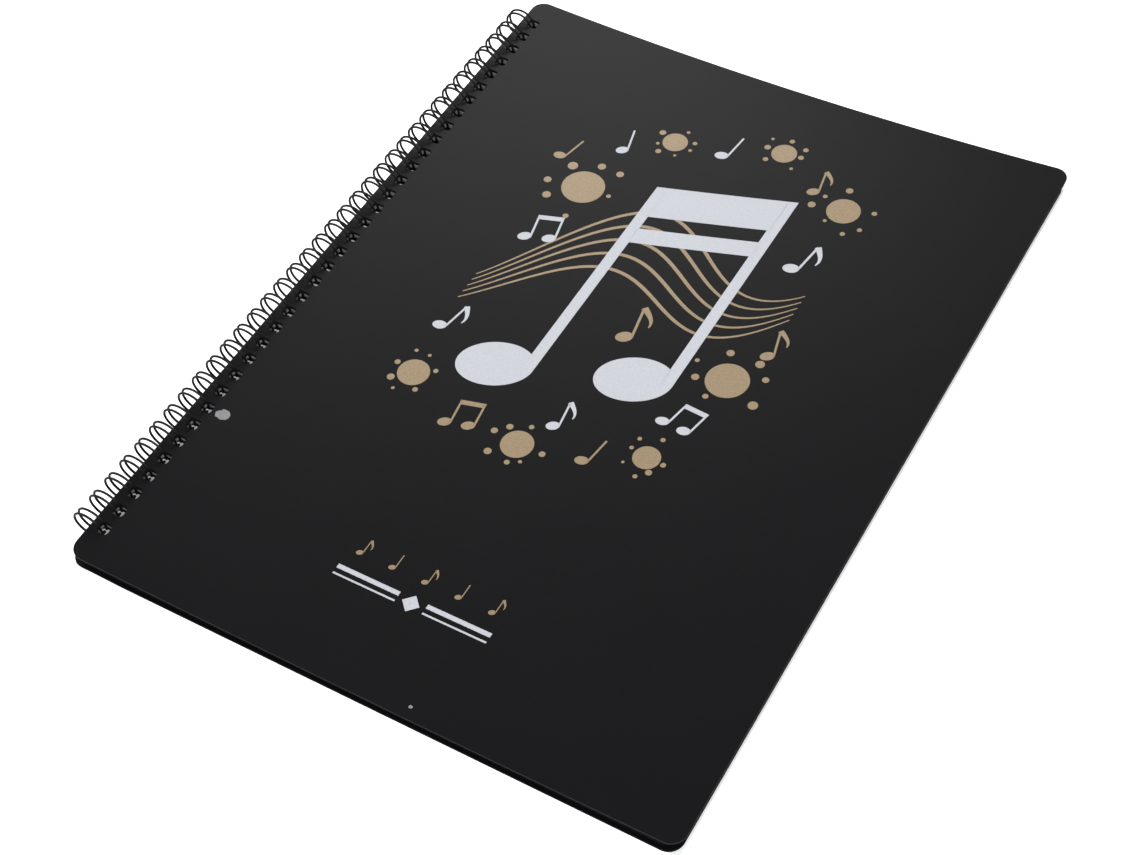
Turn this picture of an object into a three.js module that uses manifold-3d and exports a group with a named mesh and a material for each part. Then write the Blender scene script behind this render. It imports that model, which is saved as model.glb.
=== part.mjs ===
import * as THREE from 'three';
import { mergeVertices } from 'three/addons/utils/BufferGeometryUtils.js';
import Module from 'manifold-3d';

const wasm = await Module();
wasm.setup();

// Wire-bound music folder lying closed on its rear cover. Millimetres, +Z up,
// +Y up the page, the bound edge on the -X side. Heights and widths are worked out
// from the bound edge of the sheets (x = 0) and shifted at the end.

// Covers and leaves
const coverWidth = 234;
const coverHeight = 315.6;
const coverThickness = 0.7;
const cornerRadius = 5.5;
const sheetGap = 0.3;
const rearShift = -1.2;          // the rear cover sits a little further into the wire
const leafForeInset = 2.5;
const leafEndInset = 1.6;

// Punched holes, three to the inch, as many as the bound edge takes
const holePitch = 25.4 / 3;
const holeEndMargin = 13.5;
const holeCount = Math.floor((coverHeight - 2 * holeEndMargin) / holePitch) + 1;
const holeSize = 4.4;
const holeCornerCut = 1;
const holeCentreX = 5.4;

// Binding wire: a twin loop in every hole, joined by short bars in the seam
const wireDiameter = 0.9;
const ringRadius = 5.75;
const ringCentreX = -1;
const ringCentreZ = ringRadius + wireDiameter / 2;
const twinSpacing = 2.35;
const seamAngle = -23.5;
const tipAngle = 324;
const barBend = 0.8;
const arcSamples = 14;
const wireSides = 5;

// Height of the front cover's upper face at the four corners, and how far each
// end sags between bound edge and fore edge
const nearSpineZ = 7.0;
const nearForeZ = 7.0;
const farSpineZ = 8.3;
const farForeZ = 7.2;
const nearSag = 1.45;
const farSag = 4.3;

// The rear cover and the leaves climb to the wire beside the bound edge, and sink
// most of the way back between the last hole and either end
const rearLift = 2.25;
const rearLiftEnd = 24;
const leafLiftZ = 4.7;
const leafLiftEnd = 26;
const liftStart = holeCentreX + holeSize / 2;
const endSink = 0.8;
const sinkStart = ((holeCount - 1) * holePitch + holeSize) / 2;

// Colour and finish
const blackFilm = { color: 0x232325, roughness: 0.55, metalness: 0 };
const blackLeaf = { color: 0x141416, roughness: 0.7, metalness: 0 };
const blackWire = { color: 0x111112, roughness: 0.4, metalness: 0.2 };

const mix = (a, b, t) => a + (b - a) * t;

function smoothDrop(x, from, to) {
  const t = THREE.MathUtils.clamp((x - from) / (to - from), 0, 1);
  return 1 - t * t * (3 - 2 * t);
}

function frontTop(x, y) {
  const u = x / coverWidth;
  const v = y / coverHeight + 0.5;
  const flat = mix(mix(nearSpineZ, nearForeZ, u), mix(farSpineZ, farForeZ, u), v);
  return flat - mix(nearSag, farSag, v) * 4 * u * (1 - u);
}
const frontUnder = (x, y) => frontTop(x, y) - coverThickness;

const climbShare = (y) => 1 - endSink * (1 - smoothDrop(Math.abs(y), sinkStart, coverHeight / 2));

const rearUnder = (x, y) => (
  rearLift * smoothDrop(x, liftStart + rearShift, rearLiftEnd) * climbShare(y));
const rearTop = (x, y) => rearUnder(x, y) + coverThickness;

const leafTop = (x, y) => frontUnder(x, y) - sheetGap;
const leafFlatZ = coverThickness + sheetGap;
const leafUnder = (x, y) => mix(
  leafFlatZ, leafLiftZ, smoothDrop(x, liftStart, leafLiftEnd) * climbShare(y));

const toManifold = (geometry) => {
  geometry.deleteAttribute('normal');
  geometry.deleteAttribute('uv');
  const merged = mergeVertices(geometry, 1e-5);
  return new wasm.Manifold(new wasm.Mesh({
    numProp: 3,
    vertProperties: new Float32Array(merged.attributes.position.array),
    triVerts: new Uint32Array(merged.index.array),
  }));
};

function toGeometry(solid) {
  const mesh = solid.getMesh();
  const geometry = new THREE.BufferGeometry();
  geometry.setAttribute('position', new THREE.BufferAttribute(mesh.vertProperties.slice(), 3));
  geometry.setIndex(new THREE.BufferAttribute(mesh.triVerts.slice(), 1));
  return geometry;
}

// Stations across the sheet: close together where it climbs to the wire
function stations(x0, x1) {
  const list = [x0];
  for (let x = liftStart - 1; x < leafLiftEnd + 2; x += 3) list.push(x);
  const rest = 12;
  const from = list[list.length - 1];
  for (let i = 1; i <= rest; i += 1) list.push(mix(from, x1, i / rest));
  return list;
}

// Stations along the bound edge: close together where the climb sinks back
function endStations(halfHeight) {
  const steps = 4;
  const list = [];
  for (let i = 0; i <= steps; i += 1) list.push(mix(sinkStart, halfHeight, i / steps));
  const middle = [-0.5, 0, 0.5].map((share) => share * sinkStart);
  return [...list.map((y) => -y).reverse(), ...middle, ...list];
}

// A thin plate whose faces follow two height functions
function plate(x0, x1, halfHeight, under, over) {
  const xs = stations(x0, x1);
  const ys = endStations(halfHeight);
  const box = new THREE.BoxGeometry(1, 1, 1, xs.length - 1, ys.length - 1, 1);
  const position = box.attributes.position;
  for (let i = 0; i < position.count; i += 1) {
    const x = xs[Math.round((position.getX(i) + 0.5) * (xs.length - 1))];
    const y = ys[Math.round((position.getY(i) + 0.5) * (ys.length - 1))];
    const z = position.getZ(i) > 0 ? over(x, y) : under(x, y);
    position.setXYZ(i, x, y, z);
  }
  return toManifold(box);
}

function outlinePrism(x0, x1, halfHeight) {
  const r = cornerRadius;
  const shape = new THREE.Shape();
  shape.moveTo(x0 + r, -halfHeight);
  shape.lineTo(x1 - r, -halfHeight);
  shape.absarc(x1 - r, -halfHeight + r, r, -Math.PI / 2, 0);
  shape.lineTo(x1, halfHeight - r);
  shape.absarc(x1 - r, halfHeight - r, r, 0, Math.PI / 2);
  shape.lineTo(x0 + r, halfHeight);
  shape.absarc(x0 + r, halfHeight - r, r, Math.PI / 2, Math.PI);
  shape.lineTo(x0, -halfHeight + r);
  shape.absarc(x0 + r, -halfHeight + r, r, Math.PI, 1.5 * Math.PI);
  const prism = new THREE.ExtrudeGeometry(shape, { depth: 40, bevelEnabled: false, curveSegments: 8 });
  prism.translate(0, 0, -20);
  return toManifold(prism);
}

function holeCutter(shiftX, y) {
  const h = holeSize / 2;
  const c = holeCornerCut;
  const corners = [[-h + c, -h], [h - c, -h], [h, -h + c], [h, h - c],
    [h - c, h], [-h + c, h], [-h, h - c], [-h, -h + c]];
  const shape = new THREE.Shape(corners.map(([a, b]) => new THREE.Vector2(a, b)));
  const cutter = new THREE.ExtrudeGeometry(shape, { depth: 40, bevelEnabled: false });
  cutter.translate(holeCentreX + shiftX, y, -20);
  return toManifold(cutter);
}

const holeY = (i) => (i - (holeCount - 1) / 2) * holePitch;

function punchedSheet(shiftX, x1, halfHeight, under, over) {
  const x0 = shiftX;
  let solid = plate(x0, x1, halfHeight, under, over).intersect(outlinePrism(x0, x1, halfHeight));
  const cutters = [];
  for (let i = 0; i < holeCount; i += 1) cutters.push(holeCutter(shiftX, holeY(i)));
  solid = solid.subtract(wasm.Manifold.union(cutters));
  return toGeometry(solid);
}

// Points of the wire in the order it is bent: up through a hole, over and round to
// the loop's tip, back beside itself, then along the seam to the next hole
function wirePoints() {
  const onRing = (degrees, y) => {
    const a = THREE.MathUtils.degToRad(degrees);
    return new THREE.Vector3(
      ringCentreX + ringRadius * Math.cos(a), y, ringCentreZ + ringRadius * Math.sin(a));
  };
  const toDegrees = (length) => THREE.MathUtils.radToDeg(length / ringRadius);
  const half = twinSpacing / 2;
  const start = seamAngle + toDegrees(barBend);
  const end = tipAngle - toDegrees(half);
  const points = [];
  for (let i = 0; i < holeCount; i += 1) {
    const y = holeY(i);
    if (i > 0) points.push(onRing(seamAngle, y - half - barBend));
    for (let k = 0; k < arcSamples; k += 1) {
      points.push(onRing(mix(start, end, k / (arcSamples - 1)), y - half));
    }
    for (const turn of [60, 120]) {
      const a = THREE.MathUtils.degToRad(turn);
      points.push(onRing(end + toDegrees(half * Math.sin(a)), y - half * Math.cos(a)));
    }
    for (let k = arcSamples - 1; k >= 0; k -= 1) {
      points.push(onRing(mix(start, end, k / (arcSamples - 1)), y + half));
    }
    if (i < holeCount - 1) points.push(onRing(seamAngle, y + half + barBend));
  }
  return points;
}

class BentWire extends THREE.Curve {
  constructor(points) {
    super();
    this.points = points;
  }

  getPointAt(u, target = new THREE.Vector3()) {
    return target.copy(this.points[Math.round(u * (this.points.length - 1))]);
  }

  getTangentAt(u, target = new THREE.Vector3()) {
    const i = Math.round(u * (this.points.length - 1));
    const before = this.points[Math.max(i - 1, 0)];
    const here = this.points[i];
    const after = this.points[Math.min(i + 1, this.points.length - 1)];
    const a = new THREE.Vector3().subVectors(here, before).normalize();
    const b = new THREE.Vector3().subVectors(after, here).normalize();
    return target.addVectors(a, b).normalize();
  }
}

function bindingWire() {
  const points = wirePoints();
  const corners = [];
  for (let i = 0; i < wireSides; i += 1) {
    const a = (i / wireSides) * 2 * Math.PI;
    corners.push(new THREE.Vector2(Math.cos(a), Math.sin(a)).multiplyScalar(wireDiameter / 2));
  }
  const geometry = new THREE.ExtrudeGeometry(new THREE.Shape(corners), {
    steps: points.length - 1,
    extrudePath: new BentWire(points),
    bevelEnabled: false,
  });
  geometry.deleteAttribute('normal');
  geometry.deleteAttribute('uv');
  return mergeVertices(geometry, 1e-4);
}

const group = new THREE.Group();
group.name = 'music_folder';

const ringLeft = ringCentreX - ringRadius - wireDiameter / 2;
const middleX = (ringLeft + coverWidth) / 2;

function add(name, geometry, finish) {
  geometry.translate(-middleX, 0, 0);
  geometry.computeVertexNormals();
  const mesh = new THREE.Mesh(geometry, new THREE.MeshStandardMaterial(finish));
  mesh.name = name;
  group.add(mesh);
}

add('front_cover', punchedSheet(0, coverWidth, coverHeight / 2, frontUnder, frontTop), blackFilm);
add('pocket_leaves', punchedSheet(
  0, coverWidth - leafForeInset, coverHeight / 2 - leafEndInset, leafUnder, leafTop), blackLeaf);
add('rear_cover', punchedSheet(
  rearShift, coverWidth + rearShift, coverHeight / 2, rearUnder, rearTop), blackFilm);
add('binding_wire', bindingWire(), blackWire);

export default group;
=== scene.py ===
import math
import random

import bpy
from mathutils import Matrix, Vector


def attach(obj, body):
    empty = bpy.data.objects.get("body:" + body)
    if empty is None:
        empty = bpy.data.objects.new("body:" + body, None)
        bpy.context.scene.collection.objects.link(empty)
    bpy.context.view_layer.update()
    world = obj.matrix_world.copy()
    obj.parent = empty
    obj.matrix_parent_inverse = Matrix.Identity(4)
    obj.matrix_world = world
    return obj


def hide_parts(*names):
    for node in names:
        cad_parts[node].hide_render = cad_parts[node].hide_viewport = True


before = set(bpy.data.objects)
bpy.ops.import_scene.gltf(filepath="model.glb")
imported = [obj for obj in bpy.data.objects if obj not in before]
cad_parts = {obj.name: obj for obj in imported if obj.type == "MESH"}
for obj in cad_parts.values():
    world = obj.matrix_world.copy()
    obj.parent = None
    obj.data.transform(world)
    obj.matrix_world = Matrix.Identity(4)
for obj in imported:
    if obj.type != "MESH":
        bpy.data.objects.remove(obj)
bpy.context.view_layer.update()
print("frame loaded:", ", ".join(sorted(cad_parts)))

mm = 0.001

# Sizes that the whole folder shares, in mm. x runs from the bound edge of the sheets,
# y from the bottom edge, and toRow moves a point into the row's own frame.
folder = {
    "width": 234,
    "height": 315.6,
    "film": 0.7,
    "gap": 0.3,
    "middleX": 113.4,
    "corner": 5.5,
    "rearShift": -1.2,
    "leafForeInset": 2.5,
    "leafEndInset": 1.6,
    "holePitch": 25.4 / 3,
    "holeCount": 35,
    "holeSize": 4.4,
    "holeRound": 1,
    "holeCentreX": 5.4,
}


def toRow(x, y, z):
    return Vector(((x - folder["middleX"]) * mm, (y - folder["height"] / 2) * mm, z * mm))


def mix(a, b, t):
    return a + (b - a) * t


def smoothDrop(x, start, end):
    t = min(max((x - start) / (end - start), 0), 1)
    return 1 - t * t * (3 - 2 * t)


# The bowed front cover, the rear cover's climb to the wire, and the leaves between them
bow = {
    "nearSpine": 7.0, "nearFore": 7.0, "farSpine": 8.3, "farFore": 7.2,
    "nearSag": 1.45, "farSag": 4.3,
    "liftStart": 7.6, "rearLift": 2.25, "rearLiftEnd": 24, "leafLift": 4.7, "leafLiftEnd": 26,
    "endSink": 0.8,
}


def frontTop(x, y):
    u = x / folder["width"]
    v = y / folder["height"]
    near = mix(bow["nearSpine"], bow["nearFore"], u)
    far = mix(bow["farSpine"], bow["farFore"], u)
    return mix(near, far, v) - mix(bow["nearSag"], bow["farSag"], v) * 4 * u * (1 - u)


def climbShare(y):
    half = folder["height"] / 2
    start = ((folder["holeCount"] - 1) * folder["holePitch"] + folder["holeSize"]) / 2
    return 1 - bow["endSink"] * (1 - smoothDrop(abs(y - half), start, half))


def rearTop(x, y):
    climb = smoothDrop(x, bow["liftStart"] + folder["rearShift"], bow["rearLiftEnd"]) * climbShare(y)
    return bow["rearLift"] * climb + folder["film"]


def leafTop(x, y):
    return frontTop(x, y) - folder["film"] - folder["gap"]


def leafUnder(x, y):
    flat = folder["film"] + folder["gap"]
    climb = smoothDrop(x, bow["liftStart"], bow["leafLiftEnd"]) * climbShare(y)
    return mix(flat, bow["leafLift"], climb)


# Small tools

def linearColour(code):
    channels = [int(code[i:i + 2], 16) / 255 for i in (1, 3, 5)]
    return tuple(c / 12.92 if c <= 0.04045 else ((c + 0.055) / 1.055) ** 2.4 for c in channels) + (1,)


def addNode(tree, kind, settings=None, inputs=None):
    node = tree.nodes.new(kind)
    for key, value in (settings or {}).items():
        setattr(node, key, value)
    for key, value in (inputs or {}).items():
        if isinstance(value, bpy.types.NodeSocket):
            tree.links.new(value, node.inputs[key])
        else:
            node.inputs[key].default_value = value
    return node


def newMaterial(name):
    material = bpy.data.materials.new(name)
    material.use_nodes = True
    material.node_tree.nodes.clear()
    return material, material.node_tree


def meshObject(name, vertices, faces, edges=()):
    data = bpy.data.meshes.new(name)
    data.from_pydata([tuple(v) for v in vertices], list(edges), faces)
    data.update()
    piece = bpy.data.objects.new(name, data)
    bpy.context.scene.collection.objects.link(piece)
    return piece


def bakeModifiers(piece):
    graph = bpy.context.evaluated_depsgraph_get()
    baked = bpy.data.meshes.new_from_object(
        piece.evaluated_get(graph), preserve_all_data_layers=True, depsgraph=graph)
    piece.modifiers.clear()
    piece.data = baked
    return piece


def newGeometryTree(name, sockets):
    tree = bpy.data.node_groups.new(name, "GeometryNodeTree")
    tree.interface.new_socket("Geometry", in_out="INPUT", socket_type="NodeSocketGeometry")
    for label, kind in sockets:
        tree.interface.new_socket(label, in_out="INPUT", socket_type=kind)
    tree.interface.new_socket("Geometry", in_out="OUTPUT", socket_type="NodeSocketGeometry")
    return tree, addNode(tree, "NodeGroupInput").outputs, addNode(tree, "NodeGroupOutput")


def runTree(piece, tree, values):
    modifier = piece.modifiers.new(tree.name, "NODES")
    modifier.node_group = tree
    for item in tree.interface.items_tree:
        if item.in_out == "INPUT" and item.name in values:
            modifier[item.identifier] = values[item.name]
    return bakeModifiers(piece)


# Materials. Sizes in the looks are in mm, and ior is that of the real material.

# Extruded polypropylene sheet with a fine sand finish: near black, with a soft broad sheen
coverFilmLook = {"colour": "#141416", "colourDeep": "#101012", "roughness": (0.27, 0.36),
                 "specular": 0.055, "ior": 1.49, "grain": 0.7, "grainDepth": 0.012, "cloud": 45}


def makeCoverFilm():
    look = coverFilmLook
    material, tree = newMaterial("polypropylene_sheet_sand_finish")
    place = addNode(tree, "ShaderNodeTexCoord").outputs["Object"]
    # sand grit is 0.1 mm on the real sheet; drawn at 0.7 mm so that it shows
    grit = addNode(tree, "ShaderNodeTexNoise", inputs={
        "Vector": place, "Scale": 1 / (look["grain"] * mm), "Detail": 3, "Roughness": 0.6})
    cloud = addNode(tree, "ShaderNodeTexNoise", inputs={
        "Vector": place, "Scale": 1 / (look["cloud"] * mm), "Detail": 2, "Roughness": 0.5})
    tint = addNode(tree, "ShaderNodeMix", {"data_type": "RGBA"}, {
        "Factor": cloud.outputs["Fac"], "A": linearColour(look["colourDeep"]),
        "B": linearColour(look["colour"])})
    gloss = addNode(tree, "ShaderNodeMapRange", inputs={
        "Value": grit.outputs["Fac"], "From Min": 0.3, "From Max": 0.7,
        "To Min": look["roughness"][0], "To Max": look["roughness"][1]})
    bump = addNode(tree, "ShaderNodeBump", inputs={
        "Height": grit.outputs["Fac"], "Strength": 0.35, "Distance": look["grainDepth"] * mm})
    surface = addNode(tree, "ShaderNodeBsdfPrincipled", inputs={
        "Base Color": tint.outputs["Result"], "Roughness": gloss.outputs["Result"],
        "Normal": bump.outputs["Normal"], "Specular IOR Level": look["specular"], "IOR": look["ior"]})
    addNode(tree, "ShaderNodeOutputMaterial", inputs={"Surface": surface.outputs["BSDF"]})
    return material


# Die-cut edge of the same sheet: a little lighter than the face as a painted highlight along the cut,
# and dull in streaks
# the lighter colour is a painted highlight on the edge
cutEdgeLook = {"colour": "#19191b", "roughness": (0.36, 0.5), "specular": 0.15, "ior": 1.49,
               "streak": 2}


def makeCutEdge():
    look = cutEdgeLook
    material, tree = newMaterial("polypropylene_cut_edge_painted_highlight")
    place = addNode(tree, "ShaderNodeTexCoord").outputs["Object"]
    # the die's streaks are about 0.25 mm on the real edge; drawn at 2 mm so that they show
    streaks = addNode(tree, "ShaderNodeTexNoise", inputs={
        "Vector": place, "Scale": 1 / (look["streak"] * mm), "Detail": 2})
    gloss = addNode(tree, "ShaderNodeMapRange", inputs={
        "Value": streaks.outputs["Fac"],
        "To Min": look["roughness"][0], "To Max": look["roughness"][1]})
    surface = addNode(tree, "ShaderNodeBsdfPrincipled", inputs={
        "Base Color": linearColour(look["colour"]), "Roughness": gloss.outputs["Result"],
        "Specular IOR Level": look["specular"], "IOR": look["ior"]})
    addNode(tree, "ShaderNodeOutputMaterial", inputs={"Surface": surface.outputs["BSDF"]})
    return material


# Cast polypropylene pocket film: thin and black, gently rippled, with a welded seam at each end
leafFilmLook = {"colour": "#1f1f22", "roughness": 0.46, "specular": 0.12, "ior": 1.49,
                "weldInset": 4.5, "weldWidth": 1.2, "ripple": 30, "rippleDepth": 0.25}


def makeLeafFilm():
    look = leafFilmLook
    material, tree = newMaterial("pocket_film_black")
    place = addNode(tree, "ShaderNodeTexCoord").outputs["Object"]
    ripple = addNode(tree, "ShaderNodeTexNoise", inputs={
        "Vector": place, "Scale": 1 / (look["ripple"] * mm), "Detail": 1})
    split = addNode(tree, "ShaderNodeSeparateXYZ", inputs={"Vector": place})
    fromMiddle = addNode(tree, "ShaderNodeMath", {"operation": "ABSOLUTE"}, {0: split.outputs["Y"]})
    weldAt = folder["height"] / 2 - folder["leafEndInset"] - look["weldInset"]
    weld = addNode(tree, "ShaderNodeMath", {"operation": "COMPARE"}, {
        0: fromMiddle.outputs[0], 1: weldAt * mm, 2: look["weldWidth"] / 2 * mm})
    height = addNode(tree, "ShaderNodeMath", {"operation": "MULTIPLY_ADD"}, {
        0: weld.outputs[0], 1: -0.6, 2: ripple.outputs["Fac"]})
    bump = addNode(tree, "ShaderNodeBump", inputs={
        "Height": height.outputs[0], "Strength": 0.5, "Distance": look["rippleDepth"] * mm})
    surface = addNode(tree, "ShaderNodeBsdfPrincipled", inputs={
        "Base Color": linearColour(look["colour"]), "Roughness": look["roughness"],
        "Normal": bump.outputs["Normal"], "Specular IOR Level": look["specular"], "IOR": look["ior"]})
    addNode(tree, "ShaderNodeOutputMaterial", inputs={"Surface": surface.outputs["BSDF"]})
    return material


# Film that is pale in patches: the upright walls round the leaves' holes, made near white as painted
# light for the brightness seen in the holes, and a rubbed spot where the cover has whitened
paleLooks = {
    # the hole walls: near white as painted light, though the leaves are black film
    "paintedLightWall": {"name": "hole_walls_painted_light", "colour": "#e6e6ea", "second": "#c6c6ca",
                "roughness": 0.6, "ior": 1.49, "patch": 0.6, "detail": 2, "ragged": 0.5},
    "rubbed": {"name": "rubbed_film_whitened", "colour": "#a7a7aa", "second": "#6c6c70",
               "roughness": 0.7, "ior": 1.49, "patch": 1.4, "detail": 4, "ragged": 0.7},
}


def makePaleFilm(kind):
    look = paleLooks[kind]
    material, tree = newMaterial(look["name"])
    place = addNode(tree, "ShaderNodeTexCoord").outputs["Object"]
    patch = addNode(tree, "ShaderNodeTexNoise", inputs={
        "Vector": place, "Scale": 1 / (look["patch"] * mm), "Detail": look["detail"],
        "Roughness": look["ragged"]})
    tint = addNode(tree, "ShaderNodeMix", {"data_type": "RGBA"}, {
        "Factor": patch.outputs["Fac"], "A": linearColour(look["second"]),
        "B": linearColour(look["colour"])})
    surface = addNode(tree, "ShaderNodeBsdfPrincipled", inputs={
        "Base Color": tint.outputs["Result"], "Roughness": look["roughness"], "IOR": look["ior"]})
    addNode(tree, "ShaderNodeOutputMaterial", inputs={"Surface": surface.outputs["BSDF"]})
    return material


# Nylon-coated steel wire: black, satin, with a bright thin line along the top of each bend
wireLook = {"colour": "#0b0b0c", "roughness": (0.28, 0.42), "specular": 0.16, "ior": 1.53,
            "pimple": 0.9, "pimpleDepth": 0.03}


def makeCoatedWire():
    look = wireLook
    material, tree = newMaterial("nylon_coated_wire_black")
    place = addNode(tree, "ShaderNodeTexCoord").outputs["Object"]
    coat = addNode(tree, "ShaderNodeTexNoise", inputs={
        "Vector": place, "Scale": 1 / (look["pimple"] * mm), "Detail": 2})
    bump = addNode(tree, "ShaderNodeBump", inputs={
        "Height": coat.outputs["Fac"], "Strength": 0.25, "Distance": look["pimpleDepth"] * mm})
    gloss = addNode(tree, "ShaderNodeMapRange", inputs={
        "Value": coat.outputs["Fac"],
        "To Min": look["roughness"][0], "To Max": look["roughness"][1]})
    surface = addNode(tree, "ShaderNodeBsdfPrincipled", inputs={
        "Base Color": linearColour(look["colour"]), "Roughness": gloss.outputs["Result"],
        "Normal": bump.outputs["Normal"], "Specular IOR Level": look["specular"], "IOR": look["ior"]})
    addNode(tree, "ShaderNodeOutputMaterial", inputs={"Surface": surface.outputs["BSDF"]})
    return material


# Screen-printed ink: a thin even film with a fine tooth, more matt than the sheet under it
inkLooks = {
    "white": {"name": "screen_ink_white", "colour": "#cdcfd6", "second": "#c2c5ce",
              "roughness": 0.5, "metallic": 0.0, "tooth": 0.8, "toothDepth": 0.02},
    "gold": {"name": "screen_ink_gold", "colour": "#97815f", "second": "#877252",
             "roughness": 0.45, "metallic": 0.1, "tooth": 0.8, "toothDepth": 0.02},
}


def makeInk(kind):
    look = inkLooks[kind]
    material, tree = newMaterial(look["name"])
    place = addNode(tree, "ShaderNodeTexCoord").outputs["Object"]
    # the mesh of the screen leaves a tooth of 0.1 mm in the ink; drawn at 0.8 mm so that it shows
    tooth = addNode(tree, "ShaderNodeTexNoise", inputs={
        "Vector": place, "Scale": 1 / (look["tooth"] * mm), "Detail": 3, "Roughness": 0.65})
    shade = addNode(tree, "ShaderNodeMapRange", inputs={
        "Value": tooth.outputs["Fac"], "From Min": 0.35, "From Max": 0.68})
    tint = addNode(tree, "ShaderNodeMix", {"data_type": "RGBA"}, {
        "Factor": shade.outputs["Result"], "A": linearColour(look["second"]),
        "B": linearColour(look["colour"])})
    bump = addNode(tree, "ShaderNodeBump", inputs={
        "Height": tooth.outputs["Fac"], "Strength": 0.2, "Distance": look["toothDepth"] * mm})
    surface = addNode(tree, "ShaderNodeBsdfPrincipled", inputs={
        "Base Color": tint.outputs["Result"], "Roughness": look["roughness"],
        "Metallic": look["metallic"], "Normal": bump.outputs["Normal"]})
    addNode(tree, "ShaderNodeOutputMaterial", inputs={"Surface": surface.outputs["BSDF"]})
    return material


coverFilm = makeCoverFilm()
cutEdge = makeCutEdge()
leafFilm = makeLeafFilm()
paintedHoleLight = makePaleFilm("paintedLightWall")
coatedWire = makeCoatedWire()
whiteInk = makeInk("white")
goldInk = makeInk("gold")
scuffed = makePaleFilm("rubbed")
print("materials made")


# A sheet as one surface: a ring of faces round every hole, plain rows across the rest, and one
# many-sided face at each rounded corner. The bands are measured from the bound edge, and columns
# says how many there are over the climb to the wire and over the rest.
sheetBuild = {"firstBand": 2.4, "pastHole": 1.8, "holeBand": 9, "climbBand": 28, "sideStep": 1.2,
              "cornerSteps": 12, "slack": 0.001}


def sheetSurface(name, x0, x1, inset, columns, heightAt):
    build = sheetBuild
    radius = folder["corner"]
    middle = folder["height"] / 2
    pitch = folder["holePitch"]
    half = folder["holeSize"] / 2
    cut = folder["holeRound"]
    hx = x0 + folder["holeCentreX"]
    bandEnd, climbEnd = x0 + build["holeBand"], x0 + build["climbBand"]
    ringX = [x0, x0 + build["firstBand"], x0 + radius, hx + build["pastHole"], bandEnd]
    restX = [mix(bandEnd, climbEnd, i / columns[0]) for i in range(columns[0] + 1)]
    restX += [mix(climbEnd, x1 - radius, (i + 1) / columns[1]) for i in range(columns[1])] + [x1]
    upSide = [-build["sideStep"], 0, build["sideStep"]]
    downSide = upSide[::-1]
    vertices, lookup, faces = [], {}, []

    def point(x, y):
        key = (round(x, 4), round(y, 4))
        if key not in lookup:
            lookup[key] = len(vertices)
            vertices.append(toRow(x, y, heightAt(x, y)))
        return lookup[key]

    holes = range(folder["holeCount"])
    centres = [middle + (i - (folder["holeCount"] - 1) / 2) * pitch for i in holes]
    e = half - cut * (1 - math.sqrt(0.5))
    s = half - cut
    holeShape = [(-e, -e), (-s, -half), (0, -half), (s, -half), (e, -e), (half, -s), (half, 0),
                 (half, s), (e, e), (s, half), (0, half), (-s, half), (-e, e), (-half, s),
                 (-half, 0), (-half, -s)]
    for cy in centres:
        low, high = cy - pitch / 2, cy + pitch / 2
        outer = [(x, low) for x in ringX] + [(ringX[-1], cy + d) for d in upSide]
        outer += [(x, high) for x in reversed(ringX)] + [(x0, cy + d) for d in downSide]
        inner = [(hx + dx, cy + dy) for dx, dy in holeShape]
        for i in range(len(inner)):
            j = (i + 1) % len(inner)
            faces.append([point(*outer[i]), point(*outer[j]), point(*inner[j]), point(*inner[i])])
        faces.append([point(restX[0], low), point(restX[1], low), point(restX[1], high),
                      point(restX[0], high)] + [point(restX[0], cy + d) for d in downSide])
        for a, b in zip(restX[1:-1], restX[2:]):
            faces.append([point(a, low), point(b, low), point(b, high), point(a, high)])

    allX = ringX[:-1] + restX
    turns = [math.pi / 2 * k / build["cornerSteps"] for k in range(build["cornerSteps"] + 1)]
    for side in (-1, 1):
        firstRow = middle + side * folder["holeCount"] * pitch / 2
        end = middle + side * (middle - inset)
        cornerRow = end - side * radius
        midRow = end - side * radius / 2
        rows = [firstRow, (firstRow + cornerRow) / 2, cornerRow, midRow, end]
        endFaces = []
        for a, b in zip(allX[:-1], allX[1:]):
            atCorner = b <= x0 + radius + build["slack"] or a >= x1 - radius - build["slack"]
            for r0, r1 in zip(rows[:-1], rows[1:]):
                if not (atCorner and r0 in (cornerRow, midRow)):
                    endFaces.append([point(a, r0), point(b, r0), point(b, r1), point(a, r1)])
        arc = [(radius * math.cos(t), cornerRow + side * radius * math.sin(t)) for t in turns]
        endFaces.append([point(x, cornerRow) for x in ringX[1:3]] + [point(x0 + radius, midRow)]
                        + [point(x0 + radius - dx, y) for dx, y in reversed(arc)])
        endFaces.append([point(x1 - radius, cornerRow)]
                        + [point(x1 - radius + dx, y) for dx, y in arc] + [point(x1 - radius, midRow)])
        faces += endFaces if side > 0 else [face[::-1] for face in endFaces]
    return meshObject(name, vertices, faces)


# Covers: the sheet gets its thickness downwards and a hair of rounding along every cut
coverBuild = {"columns": (7, 22), "edgeRound": 0.14, "roundSteps": 3, "roundAngle": 50}


def makeCover(name, shiftX, heightAt):
    build = coverBuild
    cover = sheetSurface(name, shiftX, folder["width"] + shiftX, 0, build["columns"], heightAt)
    cover.data.materials.append(coverFilm)
    cover.data.materials.append(cutEdge)
    cover.data.polygons.foreach_set("use_smooth", [True] * len(cover.data.polygons))
    wall = cover.modifiers.new("film", "SOLIDIFY")
    wall.thickness = folder["film"] * mm
    wall.offset = -1
    # the rims take the cut-edge look with its painted highlight
    wall.material_offset_rim = 1
    rounded = cover.modifiers.new("edge", "BEVEL")
    rounded.width = build["edgeRound"] * mm
    rounded.segments = build["roundSteps"]
    rounded.limit_method = "ANGLE"
    rounded.angle_limit = math.radians(build["roundAngle"])
    rounded.harden_normals = True
    return bakeModifiers(cover)


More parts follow.
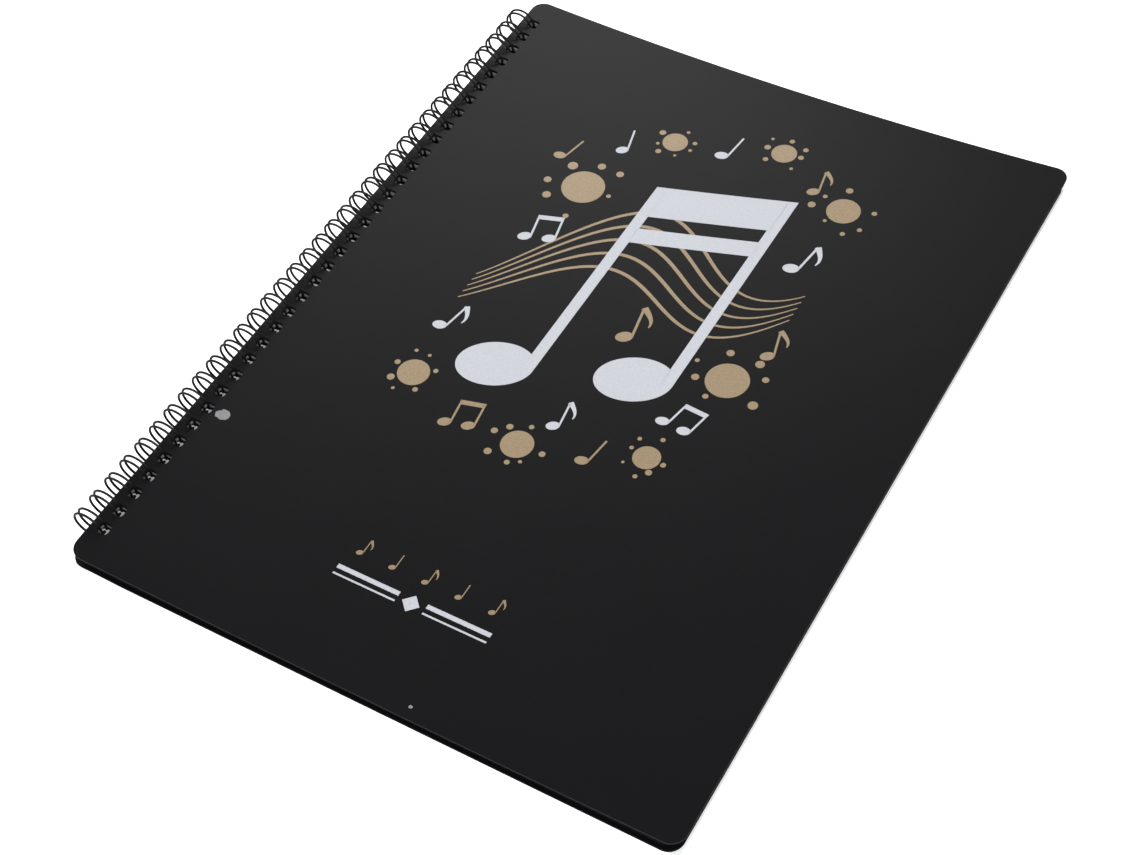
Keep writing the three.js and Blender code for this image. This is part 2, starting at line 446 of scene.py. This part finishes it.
frontCover = makeCover("front_cover_sheet", 0, frontTop)
rearCover = makeCover("rear_cover_sheet", folder["rearShift"], rearTop)
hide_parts("front_cover")
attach(frontCover, "front_cover")
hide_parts("rear_cover")
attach(rearCover, "rear_cover")
print("covers made:", len(frontCover.data.polygons), "faces each")


# Pocket leaves: one leaf repeated up the stack, each following its own share of the space.
# punchedReach is how far from the line of holes an upright face still belongs to a hole.
leafBuild = {"count": 18, "film": 0.12, "columns": (3, 7), "clearance": 0.05, "stagger": 0.35,
             "seed": 11, "punchedReach": 2.64, "upright": 0.5}


def makeLeafTree():
    tree, given, result = newGeometryTree("leaf_stack", [
        ("Leaves", "NodeSocketInt"), ("Stagger", "NodeSocketFloat"), ("Seed", "NodeSocketInt"),
        ("Material", "NodeSocketMaterial"), ("Hole Material", "NodeSocketMaterial")])
    spots = addNode(tree, "GeometryNodeMeshLine", {"mode": "OFFSET"}, {
        "Count": given["Leaves"], "Offset": (0, 0, 0)})
    copies = addNode(tree, "GeometryNodeInstanceOnPoints", inputs={
        "Points": spots.outputs["Mesh"], "Instance": given["Geometry"]})
    number = addNode(tree, "GeometryNodeInputIndex")
    marked = addNode(tree, "GeometryNodeStoreNamedAttribute", {
        "data_type": "FLOAT", "domain": "INSTANCE"}, {
        "Geometry": copies.outputs["Instances"], "Name": "layer", "Value": number.outputs["Index"]})
    real = addNode(tree, "GeometryNodeRealizeInstances", inputs={
        "Geometry": marked.outputs["Geometry"]})
    layer, low, high, paintedLightWall = (
        addNode(tree, "GeometryNodeInputNamedAttribute", {"data_type": "FLOAT"}, {"Name": name})
        for name in ("layer", "lowZ", "highZ", "paintedLightWall"))
    last = addNode(tree, "ShaderNodeMath", {"operation": "SUBTRACT"}, {0: given["Leaves"], 1: 1})
    share = addNode(tree, "ShaderNodeMath", {"operation": "DIVIDE"}, {
        0: layer.outputs["Attribute"], 1: last.outputs[0]})
    rise = addNode(tree, "ShaderNodeMapRange", inputs={
        "Value": share.outputs[0], "To Min": low.outputs["Attribute"],
        "To Max": high.outputs["Attribute"]})
    least = addNode(tree, "ShaderNodeMath", {"operation": "MULTIPLY"}, {0: given["Stagger"], 1: -1})
    slips = []
    for extra in (0, 1):
        seed = addNode(tree, "ShaderNodeMath", {"operation": "ADD"}, {0: given["Seed"], 1: extra})
        slips.append(addNode(tree, "FunctionNodeRandomValue", {"data_type": "FLOAT"}, {
            2: least.outputs[0], 3: given["Stagger"], "ID": layer.outputs["Attribute"],
            "Seed": seed.outputs[0]}))
    move = addNode(tree, "ShaderNodeCombineXYZ", inputs={
        "X": slips[0].outputs[1], "Y": slips[1].outputs[1], "Z": rise.outputs["Result"]})
    placed = addNode(tree, "GeometryNodeSetPosition", inputs={
        "Geometry": real.outputs["Geometry"], "Offset": move.outputs["Vector"]})
    dressed = addNode(tree, "GeometryNodeSetMaterial", inputs={
        "Geometry": placed.outputs["Geometry"], "Material": given["Material"]})
    # the faces round the holes take the pale look, which is painted light
    pale = addNode(tree, "GeometryNodeSetMaterial", inputs={
        "Geometry": dressed.outputs["Geometry"], "Selection": paintedLightWall.outputs["Attribute"],
        "Material": given["Hole Material"]})
    tree.links.new(pale.outputs["Geometry"], result.inputs["Geometry"])
    return tree


def makeLeaves():
    build = leafBuild
    leaves = sheetSurface("pocket_leaf_stack", 0, folder["width"] - folder["leafForeInset"],
                          folder["leafEndInset"], build["columns"], lambda x, y: 0)
    wall = leaves.modifiers.new("film", "SOLIDIFY")
    wall.thickness = build["film"] * mm
    wall.offset = 0
    bakeModifiers(leaves)
    lowZ = leaves.data.attributes.new("lowZ", "FLOAT", "POINT")
    highZ = leaves.data.attributes.new("highZ", "FLOAT", "POINT")
    for i, vertex in enumerate(leaves.data.vertices):
        x = vertex.co.x / mm + folder["middleX"]
        y = vertex.co.y / mm + folder["height"] / 2
        lowZ.data[i].value = (leafUnder(x, y) + build["clearance"]) * mm
        highZ.data[i].value = (leafTop(x, y) - build["clearance"]) * mm
    # the upright faces round the holes get the pale painted light
    paintedLightWall = leaves.data.attributes.new("paintedLightWall", "FLOAT", "FACE")
    holeLine = (folder["holeCentreX"] - folder["middleX"]) * mm
    rowEnd = folder["holeCount"] * folder["holePitch"] / 2 * mm
    for i, face in enumerate(leaves.data.polygons):
        nearHole = abs(face.center.x - holeLine) < build["punchedReach"] * mm
        inRow = abs(face.center.y) < rowEnd
        paintedLightWall.data[i].value = nearHole and inRow and abs(face.normal.z) < build["upright"]
    return runTree(leaves, makeLeafTree(), {
        "Leaves": build["count"], "Stagger": build["stagger"] * mm, "Seed": build["seed"],
        "Material": leafFilm, "Hole Material": paintedHoleLight})


leafStack = makeLeaves()
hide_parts("pocket_leaves")
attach(leafStack, "bound_block")
print("leaves made:", len(leafStack.data.polygons), "faces")


# Binding wire: one twin loop and the bar to the next, repeated along the edge. The angles say
# where on the ring the seam and the loops' tips lie.
wireBuild = {"diameter": 0.9, "ringRadius": 5.75, "ringX": -1, "twin": 2.35, "seam": -23.5, "tip": 324,
             "bend": 0.8, "arcSteps": 44, "bendSteps": 5, "tipSteps": 10, "sides": 12, "weld": 0.01}


def wireUnit():
    build = wireBuild
    radius = build["ringRadius"]
    ringZ = radius + build["diameter"] / 2
    half = build["twin"] / 2
    bend = build["bend"]
    path = []

    def onRing(length, y):
        a = math.radians(build["seam"]) + length / radius
        return toRow(build["ringX"] + radius * math.cos(a), folder["height"] / 2 + y,
                     ringZ + radius * math.sin(a))

    end = math.radians(build["tip"] - build["seam"]) * radius - half
    for k in range(build["bendSteps"]):
        t = math.pi / 2 * k / build["bendSteps"]
        path.append(onRing(bend - bend * math.cos(t), -half - bend + bend * math.sin(t)))
    for k in range(build["arcSteps"] + 1):
        path.append(onRing(mix(bend, end, k / build["arcSteps"]), -half))
    for k in range(1, build["tipSteps"]):
        t = math.pi * k / build["tipSteps"]
        path.append(onRing(end + half * math.sin(t), -half * math.cos(t)))
    wayBack = reversed(path[:build["bendSteps"] + build["arcSteps"] + 1])
    loop = [tuple(p) for p in path] + [(p.x, -p.y, p.z) for p in wayBack]
    return loop, (loop[-1][0], loop[0][1] + folder["holePitch"] * mm, loop[-1][2])


def makeWireTree():
    tree, given, result = newGeometryTree("binding_loops", [
        ("Loops", "NodeSocketInt"), ("Pitch", "NodeSocketFloat"), ("Diameter", "NodeSocketFloat"),
        ("Sides", "NodeSocketInt"), ("Weld", "NodeSocketFloat"), ("Material", "NodeSocketMaterial")])
    gaps = addNode(tree, "ShaderNodeMath", {"operation": "SUBTRACT"}, {0: given["Loops"], 1: 1})
    reach = addNode(tree, "ShaderNodeMath", {"operation": "MULTIPLY"}, {
        0: gaps.outputs[0], 1: given["Pitch"]})
    first = addNode(tree, "ShaderNodeMath", {"operation": "MULTIPLY"}, {0: reach.outputs[0], 1: -0.5})
    start = addNode(tree, "ShaderNodeCombineXYZ", inputs={"Y": first.outputs[0]})
    step = addNode(tree, "ShaderNodeCombineXYZ", inputs={"Y": given["Pitch"]})
    spots = addNode(tree, "GeometryNodeMeshLine", {"mode": "OFFSET"}, {
        "Count": given["Loops"], "Start Location": start.outputs["Vector"],
        "Offset": step.outputs["Vector"]})
    copies = addNode(tree, "GeometryNodeInstanceOnPoints", inputs={
        "Points": spots.outputs["Mesh"], "Instance": given["Geometry"]})
    number = addNode(tree, "GeometryNodeInputIndex")
    marked = addNode(tree, "GeometryNodeStoreNamedAttribute", {
        "data_type": "FLOAT", "domain": "INSTANCE"}, {
        "Geometry": copies.outputs["Instances"], "Name": "loop", "Value": number.outputs["Index"]})
    real = addNode(tree, "GeometryNodeRealizeInstances", inputs={
        "Geometry": marked.outputs["Geometry"]})
    # the last loop has no bar after it
    loop, bar = (
        addNode(tree, "GeometryNodeInputNamedAttribute", {"data_type": "FLOAT"}, {"Name": name})
        for name in ("loop", "barEnd"))
    atLast = addNode(tree, "ShaderNodeMath", {"operation": "COMPARE"}, {
        0: loop.outputs["Attribute"], 1: gaps.outputs[0], 2: 0.5})
    spare = addNode(tree, "ShaderNodeMath", {"operation": "MULTIPLY"}, {
        0: atLast.outputs[0], 1: bar.outputs["Attribute"]})
    trimmed = addNode(tree, "GeometryNodeDeleteGeometry", {"domain": "POINT"}, {
        "Geometry": real.outputs["Geometry"], "Selection": spare.outputs[0]})
    joined = addNode(tree, "GeometryNodeMergeByDistance", inputs={
        "Geometry": trimmed.outputs["Geometry"], "Distance": given["Weld"]})
    line = addNode(tree, "GeometryNodeMeshToCurve", inputs={"Mesh": joined.outputs["Geometry"]})
    thin = addNode(tree, "ShaderNodeMath", {"operation": "MULTIPLY"}, {0: given["Diameter"], 1: 0.5})
    section = addNode(tree, "GeometryNodeCurvePrimitiveCircle", inputs={
        "Resolution": given["Sides"], "Radius": thin.outputs[0]})
    swept = addNode(tree, "GeometryNodeCurveToMesh", inputs={
        "Curve": line.outputs["Curve"], "Profile Curve": section.outputs["Curve"], "Fill Caps": True})
    soft = addNode(tree, "GeometryNodeSetShadeSmooth", inputs={"Geometry": swept.outputs["Mesh"]})
    dressed = addNode(tree, "GeometryNodeSetMaterial", inputs={
        "Geometry": soft.outputs["Geometry"], "Material": given["Material"]})
    tree.links.new(dressed.outputs["Geometry"], result.inputs["Geometry"])
    return tree


def makeWire():
    build = wireBuild
    loop, barEnd = wireUnit()
    points = loop + [barEnd]
    wire = meshObject("binding_loops", points, [], [(i, i + 1) for i in range(len(points) - 1)])
    mark = wire.data.attributes.new("barEnd", "FLOAT", "POINT")
    mark.data[len(points) - 1].value = 1
    return runTree(wire, makeWireTree(), {
        "Loops": folder["holeCount"], "Pitch": folder["holePitch"] * mm,
        "Diameter": build["diameter"] * mm, "Sides": build["sides"], "Weld": build["weld"] * mm,
        "Material": coatedWire})


wire = makeWire()
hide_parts("binding_wire")
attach(wire, "bound_block")
print("wire made:", len(wire.data.polygons), "faces")


# Print: plain shapes in cover millimetres, laid on the bowed cover, the white a hair higher
printBuild = {"lift": 0.05, "whiteLift": 0.065, "film": 0.07, "weld": 0.002}


def ellipse(cx, cy, a, b, tilt, sides, rings):
    c, s = math.cos(math.radians(tilt)), math.sin(math.radians(tilt))
    turns = [2 * math.pi * i / sides for i in range(sides)]
    circles = []
    for k in range(1, rings + 1):
        share = k / rings
        circles.append([(cx + share * (a * math.cos(t) * c - b * math.sin(t) * s),
                         cy + share * (a * math.cos(t) * s + b * math.sin(t) * c)) for t in turns])
    shapes = [circles[0]]
    for inner, outer in zip(circles[:-1], circles[1:]):
        for i in range(sides):
            j = (i + 1) % sides
            shapes.append([inner[i], outer[i], outer[j], inner[j]])
    return shapes


def ribbon(railA, railB):
    return [[railA[i], railA[i + 1], railB[i + 1], railB[i]] for i in range(len(railA) - 1)]


def stroke(points, widths):
    railA, railB = [], []
    for i, (x, y) in enumerate(points):
        ax, ay = points[max(i - 1, 0)]
        bx, by = points[min(i + 1, len(points) - 1)]
        length = math.hypot(bx - ax, by - ay)
        nx, ny = -(by - ay) / length, (bx - ax) / length
        w = widths[i] / 2
        railA.append((x - nx * w, y - ny * w))
        railB.append((x + nx * w, y + ny * w))
    return ribbon(railA, railB)


def turned(shapes, cx, cy, degrees, size):
    c, s = math.cos(math.radians(degrees)) * size, math.sin(math.radians(degrees)) * size
    return [[(cx + x * c - y * s, cy + x * s + y * c) for x, y in shape] for shape in shapes]


# A note or a beamed group: the stem leaves each head at its outermost point, and the tops
# of the stems lie on one slanting line, from which the beams hang
noteHeadTilt = 24


def noteGroup(heads, head, stem, tops, beams=(), sides=20, rings=1, steps=3):
    a, b = head
    tilt = math.radians(noteHeadTilt)
    reach = math.hypot(a * math.cos(tilt), b * math.sin(tilt))
    rise = (a * a - b * b) * math.sin(tilt) * math.cos(tilt) / reach
    first, last = heads[0][0] + reach - stem, heads[-1][0] + reach

    def topAt(x):
        return mix(tops[0], tops[1], (x - first) / (last - first))

    shares = [k / steps for k in range(steps + 1)]
    shapes = []
    for hx, hy in heads:
        shapes += ellipse(hx, hy, a, b, noteHeadTilt, sides, rings)
        left, right = hx + reach - stem, hx + reach
        shapes += ribbon([(right, mix(hy + rise, topAt(right), t)) for t in shares],
                         [(left, mix(hy + rise, topAt(left), t)) for t in shares])
    for drop, thick in beams:
        across = [mix(first + stem / 2, last - stem / 2, t) for t in shares]
        shapes += ribbon([(x, topAt(x) - drop - thick) for x in across],
                         [(x, topAt(x) - drop) for x in across])
    return shapes


# Small notes on textbook proportions, drawn round their own middle, about 10 mm high
smallNote = {
    "single": [(-0.6, -4)], "singleHead": (1.95, 1.4), "singleTops": (5, 5), "stem": 0.58,
    "pair": [(-3.6, -4), (2.8, -3.2)], "pairHead": (1.9, 1.35), "pairTops": (4.2, 5),
    "pairBeams": ((0, 1.5),),
    "tailStart": (1.0, 5), "tailOut": 2.7, "tailTurn": 1.9, "tailDrop": 5.2,
    "tailWidths": (1.6, 0.3), "tailSteps": 10,
}


def crotchet():
    note = smallNote
    return noteGroup(note["single"], note["singleHead"], note["stem"], note["singleTops"])


def quaver():
    note = smallNote
    shares = [k / note["tailSteps"] for k in range(note["tailSteps"] + 1)]
    startX, startY = note["tailStart"]
    tail = [(startX + note["tailOut"] * math.sin(t * note["tailTurn"]),
             startY - note["tailDrop"] * t) for t in shares]
    return crotchet() + stroke(tail, [mix(*note["tailWidths"], t) for t in shares])


def beamedPair():
    note = smallNote
    return noteGroup(note["pair"], note["pairHead"], note["stem"], note["pairTops"], note["pairBeams"])


noteShapes = {"crotchet": crotchet, "quaver": quaver, "pair": beamedPair}


def scatterNotes(notes):
    shapes = []
    for kind, x, y, tilt, size in notes:
        shapes += turned(noteShapes[kind](), x, y, tilt, size)
    return shapes


# One round spot with small ones about it; sizes and distances are shares of its radius
bubbleBuild = {"sides": 40, "rings": 3, "small": 7, "smallSides": 18, "angleStep": 2.4,
               "size": (0.1, 0.27), "away": (1.3, 1.95)}


def bubbles(x, y, radius, seed):
    build = bubbleBuild
    chance = random.Random(seed)
    shapes = ellipse(x, y, radius, radius, 0, build["sides"], build["rings"])
    start = chance.uniform(0, 2 * math.pi)
    for k in range(build["small"]):
        angle = start + build["angleStep"] * k
        size = radius * chance.uniform(*build["size"])
        away = radius * chance.uniform(*build["away"])
        shapes += ellipse(x + away * math.cos(angle), y + away * math.sin(angle), size, size, 0,
                          build["smallSides"], 1)
    return shapes


def layInk(name, shapes, material, lift):
    vertices, faces = [], []
    for shape in shapes:
        first = len(vertices)
        vertices += [toRow(x, y, frontTop(x, y) + lift) for x, y in shape]
        area = sum(a[0] * b[1] - b[0] * a[1] for a, b in zip(shape, shape[1:] + shape[:1]))
        order = range(first, first + len(shape))
        faces.append(list(order) if area > 0 else list(reversed(order)))
    ink = meshObject(name, vertices, faces)
    ink.data.materials.append(material)
    weld = ink.modifiers.new("weld", "WELD")
    weld.merge_threshold = printBuild["weld"] * mm
    wall = ink.modifiers.new("film", "SOLIDIFY")
    wall.thickness = printBuild["film"] * mm
    wall.offset = -1
    bakeModifiers(ink)
    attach(ink, "front_cover")


# Main print: one large beamed pair in white over a waving gold stave, with bubbles and small
# notes. A beam is its drop below the stems' tops and its thickness; a bubble is x, y, radius and
# seed; a note is its kind, x, y, tilt and size.
mainPrint = {
    "heads": [(86, 138), (134, 154)], "head": (14.5, 10.2), "stem": 4.4, "tops": (243, 259),
    "beams": ((0, 17), (24, 8)), "headSides": 56, "headRings": 6, "stemSteps": 16,
    "whiteNotes": [
        ("pair", 67, 204, 12, 1.45), ("quaver", 162, 233, -8, 1.6), ("crotchet", 73, 260, 14, 1.3),
        ("quaver", 60, 150, -10, 1.4), ("pair", 158, 146, -12, 1.35), ("quaver", 119, 128, 8, 1.3),
        ("crotchet", 111, 275, -6, 1.4)],
    "goldNotes": [
        ("quaver", 121, 177, 10, 1.7), ("crotchet", 55, 246, -12, 1.3), ("pair", 88, 113, 8, 1.35),
        ("quaver", 171, 190, 14, 1.4), ("crotchet", 137, 119, -8, 1.3), ("quaver", 150, 272, 10, 1.3)],
    "bubbles": [
        (70, 230, 8.5, 3), (164, 168, 8, 21), (62, 121, 6, 7), (155, 125, 5, 9), (112, 110, 6, 12),
        (131, 281, 5, 14), (165, 262, 6.5, 17), (90, 268, 5, 19)],
}

# The stave climbs as one wave; its lines spread and thicken from the ends to the middle
stave = {
    "x": (57, 171), "y": 178, "climb": 44, "wave": 19, "phase": 0.7, "lines": 5, "steps": 60,
    "gap": 7.2, "gapAtEnds": 0.45, "gapSwell": 0.75, "gapPower": 1.2,
    "width": 1.2, "widthAtEnds": 0.35, "widthSwell": 0.9,
}


def mainWhite():
    look = mainPrint
    pair = noteGroup(look["heads"], look["head"], look["stem"], look["tops"], look["beams"],
                     look["headSides"], look["headRings"], look["stemSteps"])
    return pair + scatterNotes(look["whiteNotes"])


def staveLines():
    shapes = []
    for line in range(stave["lines"]):
        offset = line - (stave["lines"] - 1) / 2
        points, widths = [], []
        for k in range(stave["steps"] + 1):
            t = k / stave["steps"]
            hump = math.sin(math.pi * t)
            wave = stave["wave"] * math.sin(2 * math.pi * t - stave["phase"])
            gap = stave["gap"] * (stave["gapAtEnds"] + stave["gapSwell"] * hump ** stave["gapPower"])
            points.append((mix(*stave["x"], t), stave["y"] + stave["climb"] * t + wave + offset * gap))
            widths.append(stave["width"] * (stave["widthAtEnds"] + stave["widthSwell"] * hump))
        shapes += stroke(points, widths)
    return shapes


def mainGold():
    shapes = staveLines()
    for spot in mainPrint["bubbles"]:
        shapes += bubbles(*spot)
    return shapes + scatterNotes(mainPrint["goldNotes"])


# Small mark near the bottom: five plain notes over a double rule with a diamond
footPrint = {"left": 85, "right": 145, "rules": ((38.6, 1.7), (35.6, 0.7)), "ruleSteps": 6,
             "diamond": 3.4, "space": 5.4,
             "notes": ("quaver", "crotchet", "quaver", "crotchet", "quaver"), "notesY": 49,
             "noteInset": 4, "noteSize": 0.66}


def footWhite():
    look = footPrint
    middle = (look["left"] + look["right"]) / 2
    centreY = sum(y for y, width in look["rules"]) / 2
    d = look["diamond"]
    shapes = [[(middle - d, centreY), (middle, centreY - d),
               (middle + d, centreY), (middle, centreY + d)]]
    shares = [k / look["ruleSteps"] for k in range(look["ruleSteps"] + 1)]
    halves = ((look["left"], middle - look["space"]), (middle + look["space"], look["right"]))
    for start, end in halves:
        for y, width in look["rules"]:
            shapes += stroke([(mix(start, end, t), y) for t in shares], [width] * len(shares))
    return shapes


def footGold():
    look = footPrint
    left, right = look["left"] + look["noteInset"], look["right"] - look["noteInset"]
    last = len(look["notes"]) - 1
    return scatterNotes((kind, mix(left, right, i / last), look["notesY"], 0, look["noteSize"])
                        for i, kind in enumerate(look["notes"]))


layInk("print_gold", mainGold() + footGold(), goldInk, printBuild["lift"])
layInk("print_white", mainWhite() + footWhite(), whiteInk, printBuild["whiteLift"])
print("print laid")


# Wear that the folder shows: a rubbed spot beside the holes and a speck at the bottom edge.
# Each mark is x, y, radius, sides and seed.
wearBuild = {"marks": [(12.3, 72.8, 2.9, 16, 5), (136.2, 4.3, 0.8, 9, 8)], "squash": 0.82,
             "ragged": (0.78, 1.08)}


def makeWear():
    shapes = []
    for x, y, radius, sides, seed in wearBuild["marks"]:
        chance = random.Random(seed)
        shape = []
        for i in range(sides):
            t = 2 * math.pi * i / sides
            r = radius * chance.uniform(*wearBuild["ragged"])
            shape.append((x + r * math.cos(t), y + r * wearBuild["squash"] * math.sin(t)))
        shapes.append(shape)
    layInk("rubbed_spots", shapes, scuffed, printBuild["lift"])


makeWear()
print("wear laid")


# Floor, camera and light, in mm and watts. The paper glows less under the folder.
setup = {
    "cameraAt": (255.66, -381.15, 534.35),
    "right": (0.864334, 0.497801, -0.071557),
    "down": (0.351458, -0.699658, -0.622057),
    "ahead": (-0.359726, 0.512516, -0.779695),
    "lens": 61.557,
    "sensor": 36,
    "clipStart": 10,
    "worldLight": 0.25,
    "floorSize": 4000,
    "floorColour": "#f4f4f4",
    "floorGlow": 0.78,
    "glowFade": 0.8,
    "glowUnder": 0.3,
}


def makeFloor():
    s = setup["floorSize"] / 2 * mm
    floor = meshObject("studio_floor", [(-s, -s, 0), (s, -s, 0), (s, s, 0), (-s, s, 0)], [(0, 1, 2, 3)])
    material, tree = newMaterial("studio_paper_white")
    paper = addNode(tree, "ShaderNodeBsdfDiffuse", inputs={"Color": linearColour(setup["floorColour"])})
    # only what the camera sees straight on glows, so the paper's glow puts no light on the folder
    seen = addNode(tree, "ShaderNodeLightPath")
    direct = addNode(tree, "ShaderNodeMath", {"operation": "MAXIMUM"}, {
        0: seen.outputs["Is Camera Ray"], 1: seen.outputs["Is Transmission Ray"]})
    # under the front cover the glow is low, so what shows through the holes is grey
    place = addNode(tree, "ShaderNodeTexCoord").outputs["Object"]
    split = addNode(tree, "ShaderNodeSeparateXYZ", inputs={"Vector": place})
    footprint = {"X": (folder["width"] / 2 - folder["middleX"], folder["width"] / 2),
                 "Y": (0, folder["height"] / 2)}
    outside = []
    for axis, (centre, reach) in footprint.items():
        offset = addNode(tree, "ShaderNodeMath", {"operation": "SUBTRACT"}, {
            0: split.outputs[axis], 1: centre * mm})
        distance = addNode(tree, "ShaderNodeMath", {"operation": "ABSOLUTE"}, {0: offset.outputs[0]})
        outside.append(addNode(tree, "ShaderNodeMapRange", {"interpolation_type": "SMOOTHSTEP"}, {
            "Value": distance.outputs[0], "From Min": (reach - setup["glowFade"]) * mm,
            "From Max": reach * mm, "To Min": setup["glowUnder"]}))
    clear = addNode(tree, "ShaderNodeMath", {"operation": "MAXIMUM"}, {
        0: outside[0].outputs["Result"], 1: outside[1].outputs["Result"]})
    openPaper = addNode(tree, "ShaderNodeMath", {"operation": "MULTIPLY"}, {
        0: direct.outputs[0], 1: clear.outputs[0]})
    glow = addNode(tree, "ShaderNodeMath", {"operation": "MULTIPLY"}, {
        0: openPaper.outputs[0], 1: setup["floorGlow"]})
    light = addNode(tree, "ShaderNodeEmission", inputs={"Strength": glow.outputs[0]})
    both = addNode(tree, "ShaderNodeAddShader", inputs={0: paper.outputs[0], 1: light.outputs[0]})
    addNode(tree, "ShaderNodeOutputMaterial", inputs={"Surface": both.outputs[0]})
    floor.data.materials.append(material)


def makeCamera():
    data = bpy.data.cameras.new("camera")
    data.sensor_width = setup["sensor"]
    data.lens = setup["lens"]
    data.clip_start = setup["clipStart"] * mm
    camera = bpy.data.objects.new("camera", data)
    bpy.context.scene.collection.objects.link(camera)
    right, down, ahead = (Vector(setup[k]) for k in ("right", "down", "ahead"))
    turn = Matrix((right, -down, -ahead)).transposed()
    camera.matrix_world = Matrix.Translation(Vector(setup["cameraAt"]) * mm) @ turn.to_4x4()
    bpy.context.scene.camera = camera


# Soft boxes that all face the folder's middle; the far one gives the sheen on the far left
softBoxes = [
    {"name": "overhead_box", "at": (100, -250, 1250), "size": (1000, 1000), "power": 2.2},
    {"name": "far_box", "at": (-820, 950, 760), "size": (900, 700), "power": 13},
    {"name": "side_box", "at": (900, 200, 600), "size": (500, 700), "power": 1.5},
    {"name": "front_box", "at": (450, -700, 700), "size": (700, 700), "power": 6},
]


def makeLights():
    for box in softBoxes:
        data = bpy.data.lights.new(box["name"], "AREA")
        data.shape = "RECTANGLE"
        data.size = box["size"][0] * mm
        data.size_y = box["size"][1] * mm
        data.energy = box["power"]
        lamp = bpy.data.objects.new(box["name"], data)
        bpy.context.scene.collection.objects.link(lamp)
        place = Vector(box["at"]) * mm
        aim = (-place).to_track_quat("-Z", "Y").to_matrix().to_4x4()
        lamp.matrix_world = Matrix.Translation(place) @ aim


# White behind the folder and in what its surfaces mirror, dimmer as light on them
def makeWorld():
    world = bpy.data.worlds.new("studio")
    world.use_nodes = True
    bpy.context.scene.world = world
    tree = world.node_tree
    tree.nodes.clear()
    seen = addNode(tree, "ShaderNodeLightPath")
    direct = addNode(tree, "ShaderNodeMath", {"operation": "MAXIMUM"}, {
        0: seen.outputs["Is Camera Ray"], 1: seen.outputs["Is Transmission Ray"]})
    mirrored = addNode(tree, "ShaderNodeMath", {"operation": "MAXIMUM"}, {
        0: direct.outputs[0], 1: seen.outputs["Is Glossy Ray"]})
    strength = addNode(tree, "ShaderNodeMapRange", inputs={
        "Value": mirrored.outputs[0], "To Min": setup["worldLight"], "To Max": 1})
    back = addNode(tree, "ShaderNodeBackground", inputs={
        "Color": (1, 1, 1, 1), "Strength": strength.outputs["Result"]})
    addNode(tree, "ShaderNodeOutputWorld", inputs={"Surface": back.outputs[0]})


makeFloor()
makeCamera()
makeLights()
makeWorld()
bpy.context.scene.view_settings.view_transform = "Standard"
print("studio set")

# The plain solids take the looks of the pieces that stand for them
for name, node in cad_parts.items():
    node.data.materials.clear()
    look = {"binding_wire": coatedWire, "pocket_leaves": leafFilm}.get(name, coverFilm)
    node.data.materials.append(look)
